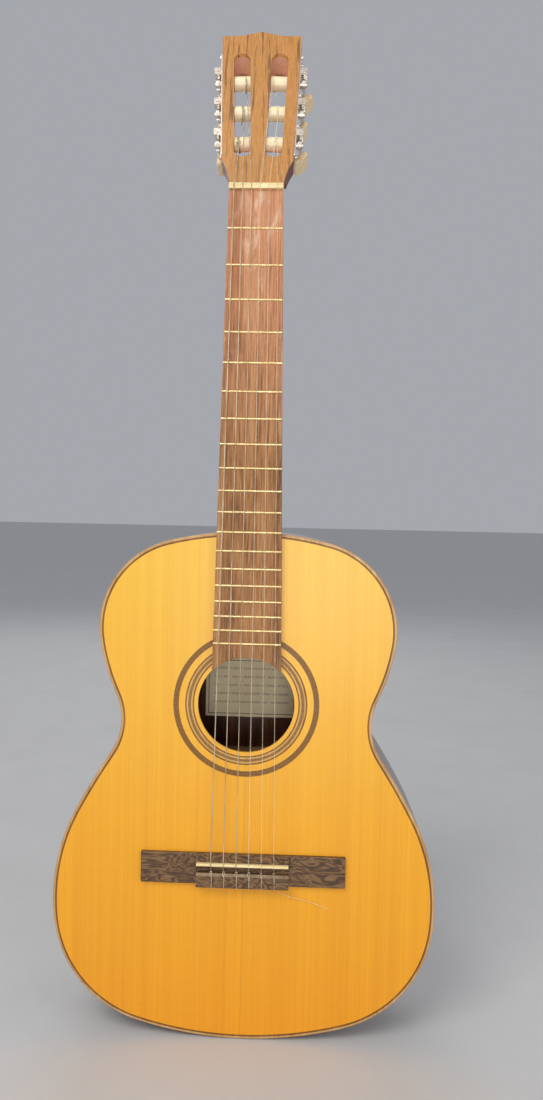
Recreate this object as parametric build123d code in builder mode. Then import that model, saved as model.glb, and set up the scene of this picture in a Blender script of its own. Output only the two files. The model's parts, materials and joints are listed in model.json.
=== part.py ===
from build123d import *
from math import asin, atan2, copysign, cos, degrees, hypot, pi, radians, sin, tan
import os

os.makedirs("parts", exist_ok=True)

# ---------------------------------------------------------------------------
# A classical guitar, standing upright.  The origin is the middle of the neck
# at the nut, on the plane of the soundboard.  +Z runs up the neck, +X to the
# treble side, and +Y from the soundboard to the back.  Sizes in millimetres.
# ---------------------------------------------------------------------------

# Scale and fingerboard
scale_length = 650.0
fret_count = 19
nut_width = 51.6
joint_width = 62.6               # fingerboard width over the body joint
fingerboard_t = 6.5
fret_crown_w = 2.2
fret_crown_h = 1.0
nut_length = 6.0
nut_height = 9.0
nut_crown = 0.4                  # level share of the nut's top, before it falls to the head
groove_play = 0.3
groove_depth = 2.4               # in string radii
nut_back_height = 6.6            # the nut's top falls away towards the head
saddle_height = 12.4             # above the soundboard

# Body
body_top = -324.5                # the heel meets the ribs here
body_depth = 96.0
rib_t = 2.5
binding_w = 2.5
binding_h = 6.0
binding_round = 1.2
purfling_w = 1.8
soundboard_t = 2.6
back_t = 2.8
# Half outline, from the neck down the treble side: radius and turn of each
# tangent arc.  A negative turn is the hollow of the waist.  The tail arc
# closes the outline on the centre line.
outline_arcs = [
    (318.0, 14.4),
    (88.7, 84.8),
    (197.0, 15.8),
    (60.0, -58.4),
    (700.0, 5.4),
    (194.5, 34.0),
    (119.4, 68.0),
]
hole_z = -493.7
hole_r = 47.4

# Inside the body
graft_half = 6.0
tail_block_half = 35.0
tail_block_t = 16.0
lining_w = 5.5
lining_h = 13.0
bar_w = 6.0
bar_h = 12.0
upper_bar_z = hole_z + 66.0
lower_bar_z = hole_z - 62.0
fan_w = 3.6
fan_h = 5.0
brace_gap = 0.5
fan_top = lower_bar_z - bar_w / 2 - brace_gap
fan_count = 7
fan_spacing = 14.4
fan_lean = 9.7                   # degrees, of the outermost struts
fan_length = 190.0
fan_shorter = 6.0                # each strut outward ends this much sooner, by square
back_bar_w = 8.0
back_bar_h = 13.0
back_bar_z = (-398.0, -566.0, -702.0)
strip_half = 7.0
strip_t = 1.8
label_half = 50.0
label_low = -529.0
label_high = -464.0
label_t = 0.4

# Rosette: radii of the inlaid rings and how deep they are let in
inlay_t = 1.2
outer_band = (66.2, 71.6)
dark_lines = ((51.2, 52.5), (58.5, 59.9))
tan_lines = ((52.5, 54.2), (56.8, 58.5))
inner_band = (54.2, 56.8)

# Bridge
saddle_z = -650.0
bridge_front = saddle_z + 8.3
bridge_back = saddle_z - 22.2
block_back = saddle_z - 23.4
bridge_half = 100.8
block_half = 45.5
wing_h = 4.0
block_h = 8.6
tie_h = 9.0
land_h = 7.0                     # the bridge behind the saddle, at the channel's edge
channel_h = 4.4
saddle_t = 2.8
saddle_half = 45.0
tie_front = saddle_z - 9.0
tie_hole_y = -5.4
tie_hole_r = 0.9
tie_strip_w = 3.0
tie_strip_t = 0.8
slot_floor_y = -3.0              # bottom of the saddle's slot
wing_corner = 1.0
wing_round = 0.8
# Section of the middle of the bridge: depth and height up the soundboard
block_profile = (
    (0, bridge_front),
    (-3.5, bridge_front),
    (-block_h, bridge_front - 4.0),
    (-block_h, saddle_z - 2.4),
    (-land_h, saddle_z - 5.0),
    (-channel_h, saddle_z - 5.6),
    (-channel_h, tie_front),
    (-tie_h, tie_front),
    (-tie_h, block_back),
    (0, block_back),
)

# Strings, first (treble) to sixth (bass)
string_r = (0.36, 0.41, 0.52, 0.38, 0.45, 0.55)
nut_spread = 41.5
bridge_spread = 61.5
string_bend = 2.0
saddle_break = 0.37              # tangent of half the turn over the saddle
roller_gap = 0.3                 # between a string and its roller
# Where each string meets its roller, sideways from the centre line
roller_x = (18.0, 19.0, 12.0, -14.0, -15.0, -18.0)
# Loose end of the first string, lying behind the bridge: sideways from its
# tie hole, in front of the soundboard, and below the tie block
tail_route = [(54.0, 0.5, 21.3), (39.0, 0.7, 15.2), (24.0, 1.1, 11.6), (12.5, 2.2, 8.2), (3.6, 4.6, 3.6)]
tail_bends = [60.0, 50.0, 20.0, 8.0, 2.0]

# Head, in its own plane: v runs up the head from the nut, h stands off its
# front face
head_tilt = 15.0
head_len = 169.5
crest_rise = 5.4
head_t = 18.0
veneer_t = 2.5
base_half = 34.4
base_v = 27.4
top_half = 39.5
nut_half = 25.7
slot_w = 16.6
slot_v = (30.8, 149.5)           # at the front face
slot_back_v = (43.5, 135.0)      # at the back, inside the ramps
slot_centre = 17.0               # from the centre line, half way up
slot_mid_v = 90.0
foot_v = 0.3                     # where the head starts above the nut
foot_cut = 22.0                  # band round its foot that the throat fills instead
cheek = (28.3, 13.8)             # hollow between the nut and the head's straight sides
crest_foot = (19.5, 170.3)       # where the slopes of the crest's peak begin
slot_corner = 8.2
slot_over = 0.5                  # how far the slots' cutters stand past both faces

# Neck and heel
neck_depths = ((-12.0, 15.4), (-100.0, 15.9), (-190.0, 16.5), (-280.0, 17.4))
neck_fullness = 2.5              # 2 is an ellipse, and more is squarer
heel_cap_t = 2.8
heel_back = body_depth - back_t
# Depth into the body, width, and length up the neck
heel_levels = (
    (8.0, 62.0, 74.0),
    (17.0, 59.5, 44.0),
    (30.0, 53.0, 33.0),
    (50.0, 43.0, 27.5),
    (72.0, 33.0, 24.0),
    (heel_back, 25.5, 22.0),
)
heel_shoulder = 0.42             # of the heel's length, where it starts to round over
heel_core_half = 12.0            # the heel's tongue between the ribs
foot_half = 36.0
foot_len = 26.0

# Tuning machines
roller_v = 51.6
roller_pitch = 35.0
roller_depth = 10.0
roller_r = 6.9
plate_t = 1.3
gear_teeth = 14
gear_tip_r = 6.6
gear_root_r = 5.2
gear_w = 3.2
gear_out = 5.0                   # gear and worm plane, out from the side
hub_r = 3.6
gear_screw_r = 2.8
gear_screw_h = 1.3
worm_centre = 9.0                # roller axis to worm axis
worm_pitch = 2.78
worm_r = 2.5                     # the worm is a round rod wound about its axis
worm_throw = 0.6
worm_turns = 4
worm_steps = 8                   # per turn
collar_r = 2.4
shaft_r = 1.6
tab_near = 7.0                   # the tabs that carry the worm, from its middle
tab_far = 8.4
tab_half = 3.6
tab_top = 8.0
button_gap = 23.5                # worm centre to the front of the button
button_t = 6.2
button_round = 1.4
button_neck_r = 2.6
button_neck_len = 5.5
button_grip = 9.0                # how far the shaft goes into the button
button_turns = (42.0, 20.0, 60.0, 12.0, 8.0, 6.0)
running = 0.06
journal_r = 3.5                  # roller, in the outer wall
spigot_r = 3.0                   # roller, in the middle of the head
spigot_len = 5.0
stub_r = 2.0                     # roller, in its gear
end_play = 0.3
stub_start = plate_t + 0.2
gear_thick_at_tip = 0.8
gear_thick_at_root = 1.9
gear_back = gear_out - gear_w / 2
gear_face = gear_out + gear_w / 2
plate_half = 8.5
plate_corner = 2.0
plate_low = -17.0
plate_high = 2 * roller_pitch + 31.0
# Plate screws: along the head from the first roller, and in front of the axis
screw_places = (
    (-13.5, 0.0),
    (0.5 * roller_pitch, 5.2),
    (1.5 * roller_pitch, 5.2),
    (plate_high - 4.0, 5.2),
    (plate_high - 4.0, -4.6),
)
screw_shank_r = 1.2
screw_slack = 0.05
screw_len = 9.0
screw_head_r = 2.3
screw_head_h = 1.3
# The machine of each string, first to sixth: its side, and its place up the head
machines = [(1, 0), (1, 1), (1, 2), (-1, 2), (-1, 1), (-1, 0)]
# Half outline of a button's paddle: across, and back from its front end
button_outline = (
    (0.0, 4.1),
    (3.4, 3.3),
    (6.7, 2.3),
    (9.4, 5.9),
    (9.5, 12.4),
    (7.8, 20.3),
    (4.4, 24.7),
    (0.0, 25.8),
)

far = 250.0                      # past any edge of the object
past = 1.0                       # how far a cutter stands past what it cuts
back_inside = body_depth - back_t
head_slope = (top_half - base_half) / (head_len - base_v)
head_taper = degrees(atan2(top_half - base_half, head_len - base_v))
tilt_sin = sin(radians(head_tilt))
tilt_cos = cos(radians(head_tilt))
taper_sin = sin(radians(head_taper))
taper_cos = cos(radians(head_taper))
head_set = 1.0                   # the head's front face starts this far above the board
head_origin = Vector(0, -head_set, nut_length)
head_up = Vector(0, tilt_sin, tilt_cos)
head_front = Vector(0, -tilt_cos, tilt_sin)
head_plane = Plane(origin=head_origin, x_dir=(1, 0, 0), z_dir=head_front)


def front_plane(depth):
    """Plane of the soundboard, moved back into the body by depth."""
    return Plane.XZ.offset(-depth)


def board_half(z):
    """Half the fingerboard's width at height z."""
    return (nut_width + (joint_width - nut_width) * z / (-scale_length / 2)) / 2


def fret_z(number):
    """Height of a fret below the nut."""
    return -scale_length * (1 - 2 ** (-number / 12))


def trace_outline(inset=0.0):
    """Closed outline of the body, inset from its outer edge."""
    start = Vector(0, body_top - inset)
    heading = 0.0
    for radius, turn in outline_arcs:
        bend = radius - copysign(inset, turn)
        direction = (cos(radians(heading)), sin(radians(heading)))
        arc = JernArc(start, direction, bend, -turn)
        start = arc @ 1
        heading -= turn
    tail_turn = 180 + heading
    direction = (cos(radians(heading)), sin(radians(heading)))
    arc = JernArc(start, direction, start.X / sin(radians(tail_turn)), -tail_turn)
    mirror(about=Plane.YZ)
    return (arc @ 1).Y


def body_slab(inset, front, back, hole=0.0):
    """A board of the body's shape between two depths."""
    with BuildPart() as slab:
        with BuildSketch(front_plane(front)):
            with BuildLine():
                trace_outline(inset)
            make_face()
            if hole:
                with Locations((0, hole_z)):
                    Circle(hole, mode=Mode.SUBTRACT)
        extrude(amount=front - back)
    return slab.part


def body_ring(outer, inner, front, back):
    """A strip that follows the body's edge, between two insets."""
    with BuildPart() as ring:
        add(body_slab(outer, front, back))
        add(body_slab(inner, front - past, back + past), mode=Mode.SUBTRACT)
    return ring.part


def annulus(inner, outer, front, back):
    """A ring around the sound hole."""
    with BuildPart() as ring:
        with BuildSketch(front_plane(front)):
            with Locations((0, hole_z)):
                Circle(outer)
                Circle(inner, mode=Mode.SUBTRACT)
        extrude(amount=front - back)
    return ring.part


def box_between(low, high):
    """A box given by its two corners."""
    size = [b - a for a, b in zip(low, high)]
    middle = [(a + b) / 2 for a, b in zip(low, high)]
    with BuildPart() as block:
        with Locations(tuple(middle)):
            Box(*size)
    return block.part


def save(builder, label):
    """Label a finished piece and write its STEP file."""
    builder.part.label = label
    export_step(builder.part, f"parts/{label}.step")


def neck_section(z, depth, width, fullness):
    """Half-round section of the neck, flat under the fingerboard."""
    power = 2 / fullness
    steps = 12
    points = []
    for index in range(steps + 1):
        angle = pi * index / steps
        across = copysign(abs(cos(angle)) ** power, cos(angle)) * width / 2
        points.append((across, -depth * sin(angle) ** power))
    with BuildSketch(Plane(origin=(0, 0, z), x_dir=(1, 0, 0), z_dir=(0, 0, -1))) as section:
        with BuildLine():
            Spline(points)
            Line(points[-1], points[0])
        make_face()
    return section.sketch


def trace_head():
    """Outline of the head in its own plane."""
    Line((0, foot_v), (nut_half, foot_v))
    ThreePointArc((nut_half, foot_v), cheek, (base_half, base_v))
    Polyline((base_half, base_v), (top_half, head_len), crest_foot, (0, head_len + crest_rise))
    mirror(about=Plane.YZ)


def slot_faces(side):
    """Mouth and floor of one head slot; it narrows down its end ramps."""
    lean = -side * head_taper
    faces = []
    for (low, high), height in ((slot_v, slot_over), (slot_back_v, -head_t - veneer_t - slot_over)):
        middle = (low + high) / 2
        across = side * (slot_centre + (middle - slot_mid_v) * head_slope)
        with BuildSketch(head_plane.offset(height)) as face:
            with Locations(Location((across, middle, 0), (0, 0, lean))):
                RectangleRounded(slot_w, high - low, slot_corner)
        faces.append(face.sketch)
    return faces


def slot_void(side):
    """What is cut away for one head slot."""
    with BuildPart() as void:
        for face in slot_faces(side):
            add(face)
        loft(ruled=True)
    return void.part


def heel_section(depth, width, length):
    """Section of the heel at one depth: flat on the ribs, rounded up the neck."""
    half = width / 2
    base = body_top - 6.0
    side = (0.98 * half, body_top + 2.0)
    shoulder = (0.84 * half, body_top + length * heel_shoulder)
    with BuildSketch(front_plane(depth)) as section:
        with BuildLine():
            Polyline(side, (half, base), (-half, base), (-side[0], side[1]))
            Spline(
                side,
                shoulder,
                (0, body_top + length),
                (-shoulder[0], shoulder[1]),
                (-side[0], side[1]),
            )
        make_face()
    return section.sketch


def machine_plane(side, index):
    """Plane of one tuning machine; index counts up the head from the nut."""
    out = Vector(side * taper_cos, 0, 0) - head_up * taper_sin
    along = Vector(side * taper_sin, 0, 0) + head_up * taper_cos
    first = Vector(side * (base_half + (roller_v - base_v) * head_slope), 0, 0)
    first += head_origin + head_up * roller_v - head_front * roller_depth
    return Plane(origin=first + along * (index * roller_pitch), x_dir=along * side, z_dir=out)


def worm_plane(side, index):
    """Plane across one worm's shaft: x points to the gear, z to the button."""
    at_side = machine_plane(side, index)
    middle = at_side.from_local_coords((side * worm_centre, 0, gear_out))
    return Plane(origin=middle, x_dir=-side * at_side.x_dir, z_dir=-head_front)


def screw_points(side):
    """Places of the plate screws in the plane of the first machine."""
    return [(side * along, across) for along, across in screw_places]


def string_x(number, spread):
    """Sideways place of a string; the first is on the treble side."""
    return spread * (0.5 - (number - 1) / 5)


def nut_groove_y(radius):
    """Depth of a string's centre where it crosses the nut."""
    return -nut_height + 0.2 * radius


def head_point(x, v, h):
    """A point of the head: across, up from the nut, and off its front face."""
    return head_origin + Vector(x, 0, 0) + head_up * v + head_front * h


def string_route(number):
    """Corners of one string's path and the bend at each."""
    radius = string_r[number - 1]
    machine = machines[number - 1][1]
    at_bridge = string_x(number, bridge_spread)
    lift = roller_r - roller_depth + roller_gap + radius
    over_saddle = saddle_t / 2 + radius
    points = [
        Vector(at_bridge, tie_hole_y, block_back - 0.4),
        Vector(at_bridge, tie_hole_y, tie_front + 0.5),
        Vector(at_bridge, -saddle_height - radius, saddle_z - over_saddle * saddle_break),
        Vector(string_x(number, nut_spread), nut_groove_y(radius), nut_length / 2),
        head_point(roller_x[number - 1], roller_v + machine * roller_pitch, lift),
    ]
    bends = [string_bend, over_saddle, string_bend]
    if number == 1:
        start = Vector(at_bridge, 0, block_back)
        tail = [start + Vector(across, -off - radius, -below) for across, off, below in tail_route]
        points = tail + points
        bends = tail_bends[1:] + [string_bend] + bends
    return points, bends


with BuildSketch():
    with BuildLine():
        body_tail = trace_outline()

# ---------------------------------------------------------------------------
# Soundboard, rosette and edge strips
# ---------------------------------------------------------------------------
board_inset = binding_w + purfling_w

with BuildPart() as soundboard:
    add(body_slab(board_inset, 0, soundboard_t, hole_r))
    add(annulus(*outer_band, -past, inlay_t), mode=Mode.SUBTRACT)
    add(annulus(dark_lines[0][0], dark_lines[1][1], -past, inlay_t), mode=Mode.SUBTRACT)
save(soundboard, "soundboard")

with BuildPart() as rosette_outer_band:
    add(annulus(*outer_band, 0, inlay_t))
save(rosette_outer_band, "rosette_outer_band")

with BuildPart() as rosette_inner_band:
    add(annulus(*inner_band, 0, inlay_t))
save(rosette_inner_band, "rosette_inner_band")

with BuildPart() as rosette_dark_lines:
    for inner, outer in dark_lines:
        add(annulus(inner, outer, 0, inlay_t))
save(rosette_dark_lines, "rosette_dark_lines")

with BuildPart() as rosette_tan_lines:
    for inner, outer in tan_lines:
        add(annulus(inner, outer, 0, inlay_t))
save(rosette_tan_lines, "rosette_tan_lines")

with BuildPart() as top_purfling:
    add(body_ring(binding_w, board_inset, 0, soundboard_t))
save(top_purfling, "top_purfling")

with BuildPart() as top_binding:
    add(body_slab(0, 0, binding_h))
    fillet(top_binding.edges().group_by(Axis.Y)[0], binding_round)
    add(body_slab(binding_w, -past, binding_h + past), mode=Mode.SUBTRACT)
save(top_binding, "top_binding")

with BuildPart() as back_binding:
    add(body_slab(0, body_depth - binding_h, body_depth))
    fillet(back_binding.edges().group_by(Axis.Y)[-1], binding_round)
    add(body_slab(binding_w, body_depth - binding_h - past, body_depth + past), mode=Mode.SUBTRACT)
save(back_binding, "back_binding")

with BuildPart() as back_plate:
    add(body_slab(binding_w, back_inside, body_depth))
save(back_plate, "back_plate")

# ---------------------------------------------------------------------------
# Ribs, end graft, blocks and linings
# ---------------------------------------------------------------------------
rib_back = body_depth - binding_h
foot_z = body_top - foot_len
block_z = body_tail + rib_t + tail_block_t

seam_cuts = box_between((-heel_core_half, 0, -450), (heel_core_half, body_depth, -300))
graft_cut = box_between((-graft_half, 0, body_tail - 10), (graft_half, body_depth, body_tail + 40))

for name, side in (("rib_treble", 1), ("rib_bass", -1)):
    with BuildPart() as rib:
        add(body_ring(0, rib_t, binding_h, rib_back))
        add(seam_cuts, mode=Mode.SUBTRACT)
        add(graft_cut, mode=Mode.SUBTRACT)
        split(bisect_by=Plane.YZ, keep=Keep.TOP if side > 0 else Keep.BOTTOM)
    save(rib, name)

with BuildPart() as end_graft:
    add(body_ring(0, rib_t, binding_h, rib_back))
    add(graft_cut, mode=Mode.INTERSECT)
save(end_graft, "end_graft")

foot_box = box_between((-foot_half, soundboard_t, foot_z), (foot_half, back_inside, body_top + 5))
block_box = box_between(
    (-tail_block_half, soundboard_t, body_tail - 5), (tail_block_half, back_inside, block_z)
)

with BuildPart() as tail_block:
    add(body_slab(rib_t, soundboard_t, back_inside))
    add(block_box, mode=Mode.INTERSECT)
save(tail_block, "tail_block")

with BuildPart() as kerfed_linings:
    for front in (soundboard_t, back_inside - lining_h):
        add(body_ring(rib_t, rib_t + lining_w, front, front + lining_h))
    add(foot_box, mode=Mode.SUBTRACT)
    add(block_box, mode=Mode.SUBTRACT)
save(kerfed_linings, "kerfed_linings")

# ---------------------------------------------------------------------------
# Braces: harmonic bars, fan struts, back braces and the centre strip
# ---------------------------------------------------------------------------
inner_shape = body_slab(rib_t + lining_w, soundboard_t, back_inside)

with BuildPart() as fans:
    for index in range(fan_count):
        step = index - (fan_count - 1) / 2
        lean = fan_lean * step / (fan_count / 2)
        length = fan_length - fan_shorter * step * step
        with BuildSketch(front_plane(soundboard_t)):
            with Locations(Location((step * fan_spacing, fan_top, 0), (0, 0, lean))):
                Rectangle(fan_w, length, align=(Align.CENTER, Align.MAX))
        extrude(amount=-fan_h)
    add(box_between((-far, 0, -2 * scale_length), (far, body_depth, fan_top)), mode=Mode.INTERSECT)

with BuildPart() as soundboard_braces:
    for z in (upper_bar_z, lower_bar_z):
        low = (-far, soundboard_t, z - bar_w / 2)
        high = (far, soundboard_t + bar_h, z + bar_w / 2)
        add(box_between(low, high))
    add(fans.part)
    add(inner_shape, mode=Mode.INTERSECT)
save(soundboard_braces, "soundboard_braces")

with BuildPart() as back_braces:
    for z in back_bar_z:
        low = (-far, back_inside - back_bar_h, z - back_bar_w / 2)
        high = (far, back_inside, z + back_bar_w / 2)
        add(box_between(low, high))
    add(inner_shape, mode=Mode.INTERSECT)
save(back_braces, "back_braces")

strip_ends = [foot_z]
for z in back_bar_z:
    strip_ends += [z + back_bar_w / 2, z - back_bar_w / 2]
strip_ends += [block_z]
label_gap = box_between((-label_half, 0, label_low), (label_half, body_depth, label_high))

with BuildPart() as back_strip:
    for top, bottom in zip(strip_ends[0::2], strip_ends[1::2]):
        low = (-strip_half, back_inside - strip_t, bottom)
        add(box_between(low, (strip_half, back_inside, top)))
    add(label_gap, mode=Mode.SUBTRACT)
save(back_strip, "back_strip")

with BuildPart() as paper_label:
    low = (-label_half, back_inside - label_t, label_low)
    add(box_between(low, (label_half, back_inside, label_high)))
save(paper_label, "paper_label")

# ---------------------------------------------------------------------------
# Neck, heel and head
# ---------------------------------------------------------------------------


# Height, depth, width and fullness where the neck swells into the head
throat_sections = (
    (neck_depths[0][0], neck_depths[0][1], 2 * board_half(neck_depths[0][0]), neck_fullness),
    (3.0, 18.6, nut_width, 3.6),
    (16.0, 22.6, 57.0, 7.0),
)
with BuildPart() as neck_shaft:
    for z, depth in neck_depths:
        add(neck_section(z, depth, 2 * board_half(z), neck_fullness))
    loft()

with BuildPart() as throat:
    for section in throat_sections:
        add(neck_section(*section))
    loft()

front_waste = box_between((-far, -far, -2 * scale_length), (far, 0, nut_length))

with BuildPart() as head_blank:
    with BuildSketch(head_plane.offset(-veneer_t)):
        with BuildLine():
            trace_head()
        make_face()
        with Locations((0, foot_v)):
            Rectangle(2 * far, foot_cut, mode=Mode.SUBTRACT)
    extrude(amount=-head_t)
    add(throat.part)
    add(neck_shaft.part)
    with BuildSketch(head_plane.offset(-veneer_t)):
        Rectangle(2 * far, far, align=(Align.CENTER, Align.MIN))
    extrude(amount=far, mode=Mode.SUBTRACT)
    add(front_waste, mode=Mode.SUBTRACT)


with BuildPart() as slot_voids:
    add(slot_void(1))
    add(slot_void(-1))

# Each machine's own plane sits on the side of the head where its roller comes
# out: z points out of the side, y to the front face, x along the head.


wall_in = -(base_half + (slot_mid_v - base_v) * head_slope - slot_centre - slot_w / 2) * taper_cos
slot_in = wall_in - slot_w

with BuildPart() as roller_bores:
    for side, index in machines:
        at_side = machine_plane(side, index)
        with BuildSketch(at_side.offset(past)):
            Circle(journal_r + running)
        extrude(amount=wall_in - 2 * past)
        with BuildSketch(at_side.offset(slot_in + past)):
            Circle(spigot_r + running)
        extrude(amount=-spigot_len - past - end_play)


with BuildPart() as screw_bores:
    for side in (1, -1):
        with BuildSketch(machine_plane(side, 0)):
            with Locations(*screw_points(side)):
                Circle(screw_shank_r)
        extrude(amount=-screw_len)

# The head is scarfed to the neck: the glue joint is the plane of the head's
# back face, carried on up to the fingerboard.
scarf = head_plane.offset(-veneer_t - head_t)

with BuildPart() as headstock:
    add(head_blank.part)
    split(bisect_by=scarf, keep=Keep.TOP)
    add(slot_voids.part, mode=Mode.SUBTRACT)
    add(roller_bores.part, mode=Mode.SUBTRACT)
    add(screw_bores.part, mode=Mode.SUBTRACT)
save(headstock, "headstock")

with BuildPart() as head_veneer:
    with BuildSketch(head_plane):
        with BuildLine():
            trace_head()
        make_face()
    extrude(amount=-veneer_t)
    add(slot_voids.part, mode=Mode.SUBTRACT)
save(head_veneer, "head_veneer")

with BuildPart() as heel:
    for depth, width, length in heel_levels:
        add(heel_section(depth, width, length))
    loft()

neck_end_z = neck_depths[-1][0]
with BuildPart() as neck_end:
    for z in (neck_end_z, body_top - 4):
        add(neck_section(z, neck_depths[-1][1], 2 * board_half(z), neck_fullness))
    loft(ruled=True)

with BuildPart() as heel_core:
    add(body_ring(0, rib_t, binding_h, rib_back))
    add(seam_cuts, mode=Mode.INTERSECT)

with BuildPart() as foot:
    add(body_slab(rib_t, soundboard_t, back_inside))
    add(foot_box, mode=Mode.INTERSECT)

with BuildPart() as neck:
    add(head_blank.part)
    split(bisect_by=scarf, keep=Keep.BOTTOM)
    add(neck_end.part)
    add(heel.part)
    add(body_slab(0, -20, body_depth + 5), mode=Mode.SUBTRACT)
    add(heel_core.part)
    add(foot.part)
save(neck, "neck")

with BuildPart() as heel_cap:
    extrude(heel_section(*heel_levels[-1]), amount=heel_cap_t, dir=(0, 1, 0))
    add(body_slab(0, -20, body_depth + 5), mode=Mode.SUBTRACT)
save(heel_cap, "heel_cap")

# ---------------------------------------------------------------------------
# Fingerboard, frets and nut
# ---------------------------------------------------------------------------
board_low = hole_z + 20.0

with BuildPart() as fingerboard:
    with BuildSketch(front_plane(0)):
        with BuildLine():
            Polyline(
                (-board_half(0), 0),
                (board_half(0), 0),
                (board_half(board_low), board_low),
                (-board_half(board_low), board_low),
                close=True,
            )
        make_face()
        with Locations((0, hole_z)):
            Circle(hole_r, mode=Mode.SUBTRACT)
    extrude(amount=fingerboard_t)
save(fingerboard, "fingerboard")

with BuildPart() as frets:
    for number in range(1, fret_count + 1):
        z = fret_z(number)
        half = board_half(z) - 0.2
        with BuildSketch(Plane.YZ.offset(-half)):
            with BuildLine():
                face = -fingerboard_t
                ends = ((face, z - fret_crown_w / 2), (face, z + fret_crown_w / 2))
                ThreePointArc(ends[0], (face - fret_crown_h, z), ends[1])
                Line(ends[1], ends[0])
            make_face()
        extrude(amount=2 * half)
save(frets, "frets")


with BuildPart() as nut:
    with BuildSketch(Plane.YZ.offset(-nut_width / 2)):
        with BuildLine():
            Polyline(
                (0, 0),
                (-nut_height, 0),
                (-nut_height, nut_crown * nut_length),
                (-nut_back_height, nut_length),
                (0, nut_length),
                close=True,
            )
        make_face()
    extrude(amount=nut_width)
    for number, radius in enumerate(string_r, 1):
        with Locations((string_x(number, nut_spread), nut_groove_y(radius), nut_length / 2)):
            groove = (2 * radius + groove_play, groove_depth * radius, nut_length + 2 * past)
            Box(*groove, mode=Mode.SUBTRACT)
save(nut, "nut")

# ---------------------------------------------------------------------------
# Bridge, saddle and tie strip
# ---------------------------------------------------------------------------

with BuildPart() as bridge_wings:
    with BuildSketch(front_plane(0)):
        with Locations((0, (bridge_front + bridge_back) / 2)):
            RectangleRounded(2 * bridge_half, bridge_front - bridge_back, wing_corner)
    extrude(amount=wing_h)
    fillet(bridge_wings.edges().group_by(Axis.Y)[0], wing_round)

with BuildPart() as bridge:
    add(bridge_wings.part)
    with BuildSketch(Plane.YZ.offset(-block_half)):
        with BuildLine():
            Polyline(*block_profile, close=True)
        make_face()
    extrude(amount=2 * block_half)
    slot_low = (-saddle_half, -far, saddle_z - saddle_t / 2)
    slot_high = (saddle_half, slot_floor_y, saddle_z + saddle_t / 2)
    add(box_between(slot_low, slot_high), mode=Mode.SUBTRACT)
    strip_low = (-block_half, -far, tie_front - tie_strip_w)
    strip_high = (block_half, tie_strip_t - tie_h, tie_front)
    add(box_between(strip_low, strip_high), mode=Mode.SUBTRACT)
    with BuildSketch(Plane.XY.offset(tie_front + 0.1)):
        for number in range(1, 7):
            with Locations((string_x(number, bridge_spread), tie_hole_y)):
                Circle(tie_hole_r)
    extrude(amount=block_back - tie_front - past, mode=Mode.SUBTRACT)
save(bridge, "bridge")

with BuildPart() as saddle:
    with BuildSketch(Plane.YZ.offset(-saddle_half)):
        with Locations(((slot_floor_y - saddle_height + saddle_t / 2) / 2, saddle_z)):
            Rectangle(saddle_height - saddle_t / 2 + slot_floor_y, saddle_t)
        with Locations((saddle_t / 2 - saddle_height, saddle_z)):
            Circle(saddle_t / 2)
    extrude(amount=2 * saddle_half)
save(saddle, "saddle")

with BuildPart() as tie_strip:
    add(box_between((-block_half, -tie_h, tie_front - tie_strip_w), strip_high))
save(tie_strip, "tie_strip")

# ---------------------------------------------------------------------------
# Strings, from the tie block over the saddle and the nut to the rollers
# ---------------------------------------------------------------------------
for number, radius in enumerate(string_r, 1):
    points, bends = string_route(number)
    with BuildPart() as string:
        with BuildLine() as route:
            FilletPolyline(*points, radius=bends)
        with BuildSketch(Plane(origin=route.line @ 0, z_dir=route.line % 0)):
            Circle(radius)
        sweep(path=route.line)
    save(string, f"string_{number}")

# ---------------------------------------------------------------------------
# Tuning machines: plates and their screws
# ---------------------------------------------------------------------------

with BuildPart() as tuner_plates:
    for side in (1, -1):
        with BuildSketch(machine_plane(side, 0)):
            with Locations((side * (plate_low + plate_high) / 2, 0)):
                RectangleRounded(plate_high - plate_low, 2 * plate_half, plate_corner)
        extrude(amount=plate_t)
    for side, index in machines:
        at_side = machine_plane(side, index)
        with BuildSketch(at_side):
            for middle in (tab_near + tab_far, -tab_near - tab_far):
                with Locations((side * worm_centre, middle / 2)):
                    Rectangle(2 * tab_half, tab_far - tab_near)
        extrude(amount=tab_top)
        with BuildSketch(at_side.offset(-past)):
            Circle(journal_r + running)
        extrude(amount=plate_t + 2 * past, mode=Mode.SUBTRACT)
        with BuildSketch(worm_plane(side, index).offset(-tab_far - past)):
            Circle(shaft_r + running)
        extrude(amount=2 * (tab_far + past), mode=Mode.SUBTRACT)
    for side in (1, -1):
        with BuildSketch(machine_plane(side, 0).offset(-past)):
            with Locations(*screw_points(side)):
                Circle(screw_shank_r + running)
        extrude(amount=plate_t + 2 * past, mode=Mode.SUBTRACT)
save(tuner_plates, "tuner_plates")

with BuildPart() as plate_screws:
    for side in (1, -1):
        with BuildSketch(machine_plane(side, 0).offset(plate_t)):
            with Locations(*screw_points(side)):
                Circle(screw_shank_r - screw_slack)
        extrude(amount=-plate_t - screw_len + 0.5)
        with BuildSketch(machine_plane(side, 0).offset(plate_t)):
            with Locations(*screw_points(side)):
                Circle(screw_head_r)
        extrude(amount=screw_head_h)
save(plate_screws, "plate_screws")

# ---------------------------------------------------------------------------
# Tuning machines: each one's roller, gear, worm and button
# ---------------------------------------------------------------------------

with BuildPart() as roller_shape:
    with BuildSketch(Plane.XY.offset(slot_in + end_play)):
        Circle(roller_r)
    extrude(amount=wall_in - slot_in - 2 * end_play)
    with BuildSketch(Plane.XY.offset(slot_in - spigot_len)):
        Circle(spigot_r)
    extrude(amount=spigot_len + past)
    with BuildSketch(Plane.XY.offset(wall_in - past)):
        Circle(journal_r)
    extrude(amount=stub_start - wall_in + past)
    with BuildSketch(Plane.XY):
        Circle(stub_r)
    extrude(amount=gear_face)

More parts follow.
